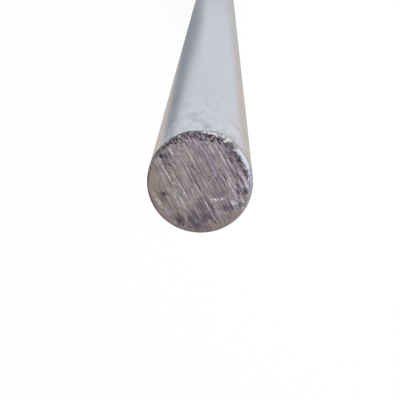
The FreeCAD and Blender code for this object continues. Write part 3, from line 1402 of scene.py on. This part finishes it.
@dataclass(frozen=True)
class StudioFloor:
    """Pale matt floor. Mirrors and the camera see it near white, with its shadow.

    Mirrors see painted light on it: cool before the bar and warmer behind it, as if it lay
    between a window and a warm wall.
    """

    radius: float = 8.0
    paint: str = "FAFAF8"
    cool: str = "E2E5EC"
    warm: str = "C8BBB0"
    # Mirrors see the floor darker and bluer near the bar's foot: painted shade that stands
    # in for the bar's contact shadow.
    shade: str = "E2EFFF"
    shade_reach: float = 130.0
    # The camera and mirrors see this share of plain white. The rest is lit paint, which
    # keeps the bar's shadow.
    shown: float = 0.85
    # The warm part starts between these two places, and further back beside the bar.
    lean: float = -0.44
    warm_from: float = -58.0
    warm_to: float = -12.0

    def build(self) -> bpy.types.Object:
        """Makes the floor.

        Returns:
            The floor.
        """
        work = bmesh.new()
        bmesh.ops.create_circle(work, cap_ends=True, segments=64, radius=self.radius)
        floor = put_in_scene("floor", work, self.material())
        return floor

    def material(self) -> bpy.types.Material:
        """Makes the floor's paint.

        Returns:
            The material.
        """
        made, tree = new_material("matt_white_floor_paint")
        path = add_node(tree, "ShaderNodeLightPath")
        seen = path.outputs["Is Camera Ray"]
        for kind in ("Is Glossy Ray", "Is Transmission Ray"):
            seen = add_node(
                tree, "ShaderNodeMath", {"operation": "MAXIMUM"}, {0: seen, 1: path.outputs[kind]}
            ).outputs["Value"]
        share = add_node(tree, "ShaderNodeMath", {"operation": "MULTIPLY", 1: self.shown}, {0: seen})
        colour = add_node(
            tree,
            "ShaderNodeMix",
            {"data_type": "RGBA", COLOUR_B: (1.0, 1.0, 1.0, 1.0)},
            {"Factor": path.outputs["Is Camera Ray"], COLOUR_A: self.mirrored(tree)},
        )
        glow = add_node(
            tree, "ShaderNodeEmission", {"Strength": 1.0}, {"Color": colour.outputs[COLOUR_OUT]}
        )
        matt = add_node(tree, "ShaderNodeBsdfDiffuse", {"Color": srgb(self.paint)})
        mixed = add_node(
            tree,
            "ShaderNodeMixShader",
            {},
            {0: share.outputs["Value"], 1: matt.outputs["BSDF"], 2: glow.outputs["Emission"]},
        )
        add_node(tree, "ShaderNodeOutputMaterial", {}, {"Surface": mixed.outputs["Shader"]})
        return made

    def mirrored(self, tree: bpy.types.NodeTree) -> bpy.types.NodeSocket:
        """Makes the colour that mirrors see, with its painted light and painted shade.

        Args:
            tree: Node tree of the material.

        Returns:
            The colour.
        """
        place = add_node(tree, "ShaderNodeTexCoord").outputs["Object"]
        apart = add_node(tree, "ShaderNodeSeparateXYZ", {}, {"Vector": place})
        aside = add_node(tree, "ShaderNodeMath", {"operation": "ABSOLUTE"}, {0: apart.outputs["X"]})
        depth = add_node(
            tree,
            "ShaderNodeMath",
            {"operation": "MULTIPLY_ADD", 1: self.lean},
            {0: aside.outputs["Value"], 2: apart.outputs["Y"]},
        )
        behind = add_node(
            tree,
            "ShaderNodeMapRange",
            {
                "From Min": self.warm_from * MM,
                "From Max": self.warm_to * MM,
                "interpolation_type": "SMOOTHSTEP",
            },
            {"Value": depth.outputs["Value"]},
        )
        mirrored = add_node(
            tree,
            "ShaderNodeMix",
            {"data_type": "RGBA", COLOUR_A: srgb(self.cool), COLOUR_B: srgb(self.warm)},
            {"Factor": behind.outputs["Result"]},
        )
        out = add_node(tree, "ShaderNodeVectorMath", {"operation": "LENGTH"}, {0: place})
        near = add_node(
            tree,
            "ShaderNodeMapRange",
            {"From Min": 0.0, "From Max": self.shade_reach * MM, "To Min": 0.7, "To Max": 0.0},
            {"Value": out.outputs["Value"]},
        )
        return add_node(
            tree,
            "ShaderNodeMix",
            {"data_type": "RGBA", "blend_type": "MULTIPLY", COLOUR_B: srgb(self.shade)},
            {"Factor": near.outputs["Result"], COLOUR_A: mirrored.outputs[COLOUR_OUT]},
        ).outputs[COLOUR_OUT]


@dataclass(frozen=True)
class ShadeCard:
    """Dark card on the floor beside the bar's foot, in millimetres.

    Only mirrors see it. It is painted shade, standing in for shade on the floor beside the
    bar, and it puts the long dark reflection on the bar's left side.
    """

    shade: str = "959AA2"
    start: float = 8.0
    end: float = 190.0
    front: float = -73.0
    back: float = 48.0
    soft: float = 24.0
    lift: float = 0.5

    def build(self) -> bpy.types.Object:
        """Makes the card.

        Returns:
            The card.
        """
        work = bmesh.new()
        bmesh.ops.create_grid(work, x_segments=1, y_segments=1, size=0.5)
        size = Vector((self.end - self.start, self.back - self.front, 1.0)) * MM
        middle = Vector((self.end + self.start, self.back + self.front, 2 * self.lift)) * MM / 2
        bmesh.ops.scale(work, vec=size, verts=work.verts)
        bmesh.ops.translate(work, vec=middle, verts=work.verts)
        card = put_in_scene("shade_card", work, self.material())
        show_to_mirrors_only(card)
        return card

    def material(self) -> bpy.types.Material:
        """Makes the card's painted shade, which thins out at its edges.

        Returns:
            The material.
        """
        made, tree = new_material("painted_shade_card")
        place = add_node(tree, "ShaderNodeTexCoord").outputs["Object"]
        apart = add_node(tree, "ShaderNodeSeparateXYZ", {}, {"Vector": place})
        cover = None
        for axis, edge, inward in (
            ("X", self.start, 1.6 * self.soft),
            ("X", self.end, -2 * self.soft),
            ("Y", self.front, 2 * self.soft),
            ("Y", self.back, -1.2 * self.soft),
        ):
            fade = add_node(
                tree,
                "ShaderNodeMapRange",
                {
                    "From Min": edge * MM,
                    "From Max": (edge + inward) * MM,
                    "interpolation_type": "SMOOTHSTEP",
                },
                {"Value": apart.outputs[axis]},
            ).outputs["Result"]
            if cover:
                fade = add_node(
                    tree, "ShaderNodeMath", {"operation": "MULTIPLY"}, {0: cover, 1: fade}
                ).outputs["Value"]
            cover = fade
        add_cover(tree, cover, self.shade)
        return made


@dataclass(frozen=True)
class StudioFlags:
    """Tall dark cards round the bar, in millimetres and degrees.

    Only mirrors see them. Each is a painted dark reflection that puts a dark streak down the
    bar, so that it looks round.
    """

    clocks: tuple[float, ...] = (0.0, 115.0, 235.0)
    apart: float = 320.0
    width: float = 230.0
    height: float = 750.0
    clear_of_floor: float = 1.0
    shade: str = "5A5E64"

    def build(self) -> None:
        """Makes all the flags with one material, a painted dark glow."""
        painted_glow = self.material()
        for clock in self.clocks:
            self.build_flag(clock, painted_glow)

    def build_flag(self, clock: float, painted_glow: bpy.types.Material) -> bpy.types.Object:
        """Makes one flag.

        Args:
            clock: Direction from the bar, in degrees from +X.
            painted_glow: Its material.

        Returns:
            The flag.
        """
        work = bmesh.new()
        bmesh.ops.create_grid(work, x_segments=1, y_segments=1, size=0.5)
        bmesh.ops.scale(work, vec=Vector((self.width, self.height, 1.0)) * MM, verts=work.verts)
        upright = Matrix.Rotation(math.radians(90.0), 4, "X")
        bmesh.ops.rotate(work, matrix=upright, verts=work.verts)
        middle = Vector((0.0, -self.apart, self.height / 2 + self.clear_of_floor)) * MM
        bmesh.ops.translate(work, vec=middle, verts=work.verts)
        turn = Matrix.Rotation(math.radians(clock + 90.0), 4, "Z")
        bmesh.ops.rotate(work, matrix=turn, verts=work.verts)
        flag = put_in_scene(f"flag_{clock:.0f}", work, painted_glow)
        show_to_mirrors_only(flag)
        return flag

    def material(self) -> bpy.types.Material:
        """Makes the flags' painted dark reflection, which thins out toward their sides.

        Returns:
            The material.
        """
        made, tree = new_material("painted_reflection_flag")
        place = add_node(tree, "ShaderNodeTexCoord").outputs["Object"]
        level = add_node(
            tree, "ShaderNodeMapping", {"Scale": (1.0, 1.0, 0.0)}, {"Vector": place}
        ).outputs["Vector"]
        out = add_node(tree, "ShaderNodeVectorMath", {"operation": "LENGTH"}, {0: level})
        cover = add_node(
            tree,
            "ShaderNodeMapRange",
            {
                "From Min": math.hypot(self.apart, self.width / 2) * MM,
                "From Max": self.apart * MM,
                "interpolation_type": "SMOOTHSTEP",
            },
            {"Value": out.outputs["Value"]},
        )
        add_cover(tree, cover.outputs["Result"], self.shade)
        return made


@dataclass(frozen=True)
class Softbox:
    """One soft lamp with a rectangular front."""

    name: str
    place: Vector
    target: Vector
    width: float
    height: float
    radiance: float
    tint: str = "FFFFFF"

    def build(self) -> bpy.types.Object:
        """Makes the lamp.

        Returns:
            The lamp.
        """
        light = bpy.data.lights.new(self.name, "AREA")
        light.shape = "RECTANGLE"
        light.size = self.width
        light.size_y = self.height
        light.energy = self.radiance * self.width * self.height * math.pi
        light.color = srgb(self.tint)[:3]
        lamp = bpy.data.objects.new(self.name, light)
        lamp.matrix_world = look_from(self.place, self.target, Vector((0.0, 0.0, 1.0)))
        bpy.context.scene.collection.objects.link(lamp)
        return lamp


@dataclass(frozen=True)
class Studio:
    """Plain pale room: floor, surround and soft lamps."""

    horizon: str = "FFFFFF"
    ceiling: str = "B4B4B8"

    def build(self) -> None:
        """Makes the room and its lamps."""
        StudioFloor().build()
        self.light_world()
        middle = Vector((0.0, 0.0, 0.35))
        Softbox(
            name="key_softbox",
            place=Vector((-0.55, -0.27, 2.1)),
            target=middle,
            width=1.2,
            height=1.2,
            radiance=5.2,
        ).build()
        ShadeCard().build()
        StudioFlags().build()

    def light_world(self) -> None:
        """Makes the surround: white at the horizon, greyer overhead."""
        world = bpy.data.worlds.new("studio_surround")
        bpy.context.scene.world = world
        world.use_nodes = True
        tree = world.node_tree
        tree.nodes.clear()
        way = add_node(tree, "ShaderNodeTexCoord").outputs["Generated"]
        height = add_node(tree, "ShaderNodeSeparateXYZ", {}, {"Vector": way}).outputs["Z"]
        overhead = add_node(
            tree,
            "ShaderNodeMapRange",
            {"From Min": 0.25, "From Max": 0.85, "interpolation_type": "SMOOTHSTEP"},
            {"Value": height},
        )
        colour = add_node(
            tree,
            "ShaderNodeMix",
            {"data_type": "RGBA", COLOUR_A: srgb(self.horizon), COLOUR_B: srgb(self.ceiling)},
            {"Factor": overhead.outputs["Result"]},
        )
        glow = add_node(
            tree, "ShaderNodeBackground", {"Strength": 1.0}, {"Color": colour.outputs[COLOUR_OUT]}
        )
        add_node(tree, "ShaderNodeOutputWorld", {}, {"Surface": glow.outputs["Background"]})


@dataclass(frozen=True)
class PhotoCamera:
    """The camera of the photograph, above the sawn end and looking down the bar."""

    place: Vector = field(default_factory=lambda: Vector((-0.00483, -0.06237, 0.69484)))
    target: Vector = field(default_factory=lambda: Vector((0.0, 0.00413, 0.5)))
    lens: float = 78.4

    def build(self) -> bpy.types.Object:
        """Makes the camera and gives it to the scene.

        Returns:
            The camera.
        """
        data = bpy.data.cameras.new("photo_camera")
        data.lens = self.lens
        data.clip_start = 0.01
        camera = bpy.data.objects.new("photo_camera", data)
        camera.matrix_world = look_from(self.place, self.target, Vector((0.0, -1.0, 0.0)))
        bpy.context.scene.collection.objects.link(camera)
        bpy.context.scene.camera = camera
        return camera


def main() -> None:
    """Builds the room, the camera and the bar, in that order."""
    logging.basicConfig(level=logging.INFO, format="%(name)s: %(message)s")
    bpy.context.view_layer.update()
    bpy.context.scene.view_settings.view_transform = "Standard"
    Studio().build()
    PhotoCamera().build()

    low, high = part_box("round_bar")
    bar = RoundBar(low, high).build()
    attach(bar, "root")
    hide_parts("round_bar")
    LOG.info("%s: %d faces", bar.name, len(bar.data.polygons))


if __name__ == "__main__":
    main()
